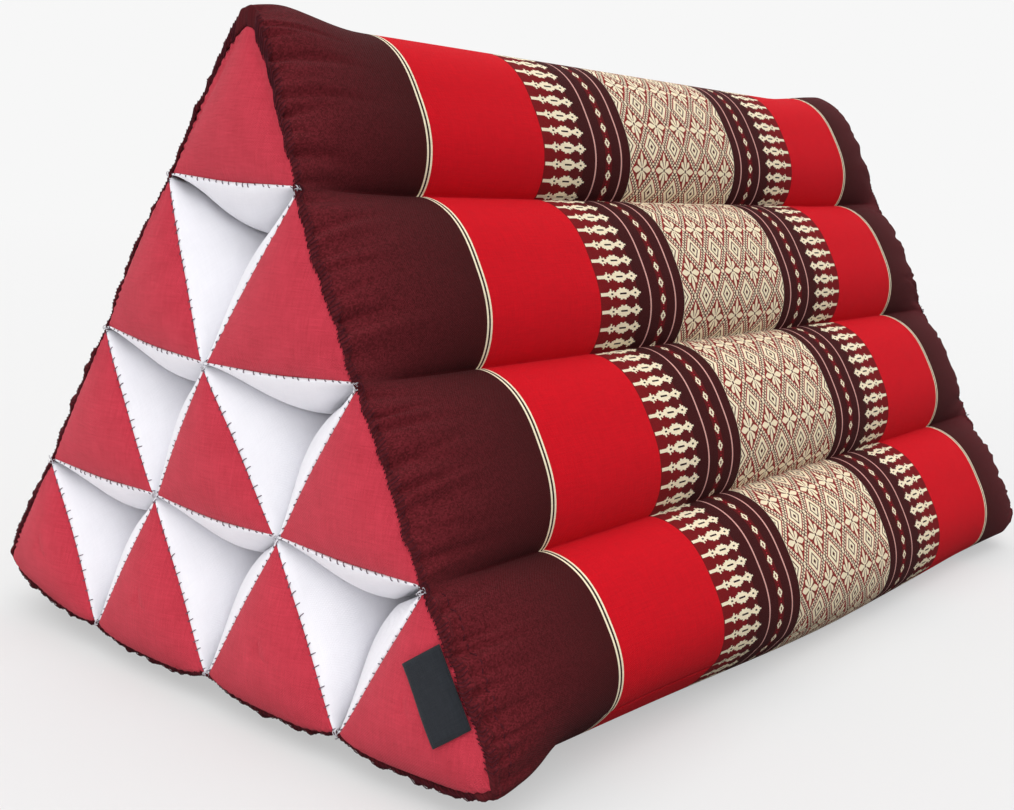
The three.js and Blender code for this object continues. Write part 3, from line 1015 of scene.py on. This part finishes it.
def whip_stitches(end):
    """Threads that slant from each end triangle over the turned edge of its case."""
    paths, planes = [], []
    for row, place in ROLLS:
        corners, rim = face_outline(row, place)
        middle = np.mean(corners, axis=0)
        for side, wall in enumerate(roll_walls(row, place)):
            if wall is not WHITE:
                continue
            count = round(PITCH / STITCH_PITCH)
            places = np.linspace(-0.95, 0.95, count) + random.uniform(-0.02, 0.02, count)
            edge = np.append(0, corners[(side + 1) % 3] - corners[side])
            for centre in np.array_split(random.permutation(places), 4):
                slant = WHIP_SLANT[side] / PITCH * (1 + random.uniform(-0.6, 0.6, len(centre)))
                free = WHIP_FREE[side] + random.uniform(-0.3, 0.1)
                path = []
                for share, lift, turn in WHIP_ON_FACE:
                    point = middle + share * (side_points(rim, side, centre + turn * slant) - middle)
                    height = END_DOME * dome_share(row, corners, point) + lift
                    path.append(settle(end * (HALF + height), point))
                # Over the case's turned edge: share of the lip, height and share of the slant
                for lip, lift, turn in (
                    (0.5 + 0.5 * free, 0.3, 0.0), (0.2 + 0.8 * free, 0.3, -0.4), (free, 0.15, -0.8),
                    (free - 0.05, -0.5, -0.9),
                ):
                    depth = np.interp(lip, LIP_SHARES, LIP_DEPTHS)
                    point = side_points(roll_ring(row, place, depth, lip), side, centre + turn * slant)
                    path.append(settle(end * (HALF - depth + lift), point))
                paths.append(np.stack(path, axis=1))
                planes.append(np.broadcast_to(edge / np.linalg.norm(edge), (len(centre), 3)))
    return np.concatenate(paths), np.concatenate(planes)


HEM_ROWS = len(HEM_TURN)


def hem_points(end, station, chord):
    """Points of the cover at fractional stations behind its edge and places round it."""
    grid = LINES if end < 0 else LINES[::-1]
    low = np.clip(station.astype(int), 0, len(STATIONS) - 2)
    share = (station - low)[:, None]
    spots = chord % (3 * ROWS * PITCH)
    at = np.interp(spots, np.append(CHORD, 3 * ROWS * PITCH), np.arange(ROUND + 1.0))
    first = at.astype(int) % ROUND
    part = (at % 1)[:, None]
    near = (1 - part) * grid[low, first] + part * grid[low, (first + 1) % ROUND]
    far = (1 - part) * grid[low + 1, first] + part * grid[low + 1, (first + 1) % ROUND]
    return (1 - share) * near + share * far


def station_of(depth):
    return np.interp(depth, [d for d, _ in STATIONS[HEM_ROWS:]], np.arange(HEM_ROWS, len(STATIONS)))


OVERCAST_PITCH = 1.7
OVERCAST_CLEAR = 8  # none shows this near the cushion's own corners
RUNNING_DEPTH = 6  # the running stitches are this far behind the edge
RUNNING_PITCH = 3.1
# A running stitch: steps along the cloth and height over it
RUNNING_PATH = [(-0.9, -0.5), (-0.75, 0.1), (-0.25, 0.3), (0.25, 0.3), (0.6, 0.25), (0.75, 0.1), (0.9, -0.5)]


def overcast(end):
    """Threads that slant from the end triangle over the cover's turned edge."""
    panel = ROWS * PITCH
    count = round(3 * panel / OVERCAST_PITCH)
    chord = np.arange(count) * 3 * panel / count + random.uniform(-0.4, 0.4, count)
    chord = chord[np.abs((chord + panel / 2) % panel - panel / 2) > OVERCAST_CLEAR]
    count = len(chord)
    _, outward = cover_outline(0)
    which = np.searchsorted(CHORD, chord % (3 * panel)) % ROUND
    out = np.concatenate([np.zeros((count, 1)), outward[which]], axis=1)
    face = np.array([end, 0, 0])
    zero = np.zeros(count)
    lean = 1.0 + random.uniform(-0.5, 0.5, count)
    path = [
        hem_points(end, zero, chord + lean) - 0.8 * out - 0.2 * face,
        hem_points(end, zero, chord + 0.8 * lean) - 0.4 * out + 0.5 * face,
        hem_points(end, np.full(count, 2.0), chord + 0.4 * lean) + 0.4 * face,
        hem_points(end, station_of(zero), chord) + 0.2 * face + 0.2 * out,
        hem_points(end, station_of(zero + 0.7), chord - 0.5 * lean) + 0.2 * out,
        hem_points(end, station_of(zero + 1.3), chord - 0.9 * lean) + 0.1 * out,
        hem_points(end, station_of(zero + 1.7), chord - lean) - 0.6 * out,
    ]
    along = np.stack([np.zeros(count), -outward[which][:, 1], outward[which][:, 0]], axis=1)
    return np.stack(path, axis=1), along


def hem_running(end):
    """Small running stitches behind the wide hem of the lowest front roll."""
    chord = np.arange(3 * PITCH + 4, 4 * PITCH - 3, RUNNING_PITCH)
    chord = chord + random.uniform(-0.3, 0.3, len(chord))
    station = station_of(np.full(len(chord), float(RUNNING_DEPTH)))
    _, outward = cover_outline(0)
    which = np.searchsorted(CHORD, chord) % ROUND
    out = np.concatenate([np.zeros((len(chord), 1)), outward[which]], axis=1)
    path = [hem_points(end, station, chord + step) + lift * out for step, lift in RUNNING_PATH]
    return np.stack(path, axis=1), np.broadcast_to(np.array([1.0, 0, 0]), (len(chord), 3))


def knot(centre, loops, size):
    """Loops of thread crossed over one another."""
    paths, planes = [], []
    for _ in range(loops):
        normal = random.normal(size=3)
        normal /= np.linalg.norm(normal)
        first = np.cross(normal, random.normal(size=3))
        first /= np.linalg.norm(first)
        second = np.cross(normal, first)
        shift = random.normal(size=3) * size * 0.3
        turns = np.linspace(0, math.radians(250), 7)
        wide = size * random.uniform(0.6, 1.0)
        flat = random.uniform(0.5, 0.9)
        loop = np.cos(turns)[:, None] * first + flat * np.sin(turns)[:, None] * second
        paths.append(centre + shift + wide * loop)
        planes.append(normal)
    return paths, planes


def knots(end, spots, loops, size, stand):
    """Knots at seams, given by row and place, standing out from the end seam or behind it."""
    paths, planes = [], []
    for row, place in spots:
        centre = settle(end * (HALF + stand), seam_point(row, place)[None])[0]
        more = knot(centre, loops, size)
        paths += more[0]
        planes += more[1]
    return np.array(paths), np.array(planes)


def sewing_thread(name, dark, light):
    material, tree, shader = new_material(name, 0.8)
    place = tree.nodes.new("ShaderNodeTexCoord").outputs["Object"]
    colour = mixed(tree, noise(tree, place, 800, 1), dark, light)
    tree.links.new(colour, shader.inputs["Base Color"])
    return material


GREY_THREAD = sewing_thread("grey thread", shade(60, 44, 58), shade(132, 112, 128))
DARK_THREAD = sewing_thread("dark thread", shade(38, 11, 16), shade(88, 34, 44))
PALE_THREAD = sewing_thread("pale thread", shade(120, 118, 126), shade(226, 224, 230))
WHITE_SPOTS = [(1, 1), (2, 1), (2, 2), (3, 1), (3, 2), (3, 3), (4, 1), (4, 2), (4, 3)]
HEM_SPOTS = [(1, 0), (2, 0), (3, 0)]
for end, side in ((-1, "left"), (1, "right")):
    for name, sewn_rows, material in (
        ("whip", whip_stitches, GREY_THREAD),
        ("overcast", overcast, DARK_THREAD),
        ("running", hem_running, DARK_THREAD),
    ):
        sewn = threads(f"{name}_{side}", *sewn_rows(end), THREAD)
        sewn.data.materials.append(material)
        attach(sewn, "root")
    pale = threads(f"knots_{side}", *knots(end, WHITE_SPOTS + HEM_SPOTS, 5, 1.5, 0.0), THREAD)
    pale.data.materials.append(PALE_THREAD)
    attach(pale, "root")
    tied = threads(f"hem_knots_{side}", *knots(end, HEM_SPOTS, 9, 2.2, -1.0), THREAD)
    tied.data.materials.append(DARK_THREAD)
    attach(tied, "root")

# Floor and light
# A plain pale floor that runs out into an even pale surround, brighter overhead, one soft
# light from above and in front, and two weaker ones, low down on the side of the label.
SURROUND = 0.93
GLOW = 0.45  # brightness of the floor at the cushion, and the grey that takes its shadow
SHADOWED = 0.35
BOUNCE = 0.2  # what the floor throws back up at the cushion
END_BOUNCE = 0.9  # and what it throws back beyond the end with the label
END_FLOOR = -0.27
bpy.ops.mesh.primitive_circle_add(vertices=96, radius=30, fill_type="NGON", location=(0, 0, -0.0006))
floor = bpy.context.active_object
floor.name = "floor"
paint, tree, shader = new_material("pale floor", 0.9)
seen = Measure(tree, tree.nodes.new("ShaderNodeLightPath").outputs["Is Camera Ray"])
x, y, _ = parts_of(tree, tree.nodes.new("ShaderNodeTexCoord").outputs["Object"])
away = (x * x + y * y).step("SQRT").step("MULTIPLY_ADD", 0.6, -0.4)
away.tree.nodes[-1].use_clamp = True
bounce = mixed(tree, x < END_FLOOR, (BOUNCE,) * 3, (END_BOUNCE,) * 3)
near = mixed(tree, seen, bounce, (SHADOWED,) * 3)
glow = mixed(tree, away, (GLOW,) * 3, (SURROUND,) * 3)
tree.links.new(mixed(tree, away, near, (0.0, 0.0, 0.0)), shader.inputs["Base Color"])
tree.links.new(mixed(tree, seen, (0.0, 0.0, 0.0), glow), shader.inputs["Emission Color"])
shader.inputs["Emission Strength"].default_value = 1
shader.inputs["Specular IOR Level"].default_value = 0
floor.data.materials.append(paint)

SIDE_LIGHT = 0.4
TOP_LIGHT = 0.9
world = bpy.data.worlds.new("surround")
world.use_nodes = True
tree = world.node_tree
seen = Measure(tree, tree.nodes.new("ShaderNodeLightPath").outputs["Is Camera Ray"])
_, _, height = parts_of(tree, tree.nodes.new("ShaderNodeTexCoord").outputs["Generated"])
lit = height.step("MAXIMUM", 0) * TOP_LIGHT + SIDE_LIGHT
strength = seen * SURROUND + seen.flipped() * lit
tree.links.new(strength.socket, tree.nodes["Background"].inputs["Strength"])
tree.nodes["Background"].inputs["Color"].default_value = (1, 1, 1, 1)
bpy.context.scene.world = world
bpy.context.scene.view_settings.view_transform = "Standard"

# Strength, angle across and where it comes from
for strength, wide, source in (
    (1.05, 40, (-0.5, -0.55, 1.0)), (0.8, 40, (-1.0, -0.1, 0.2)), (0.35, 20, (-1.0, 0.25, 0.0)),
):
    light = bpy.data.lights.new("soft light", "SUN")
    light.energy = strength
    light.angle = math.radians(wide)
    holder = bpy.data.objects.new("soft light", light)
    holder.matrix_world = Vector(source).to_track_quat("Z", "Y").to_matrix().to_4x4()
    bpy.context.scene.collection.objects.link(holder)
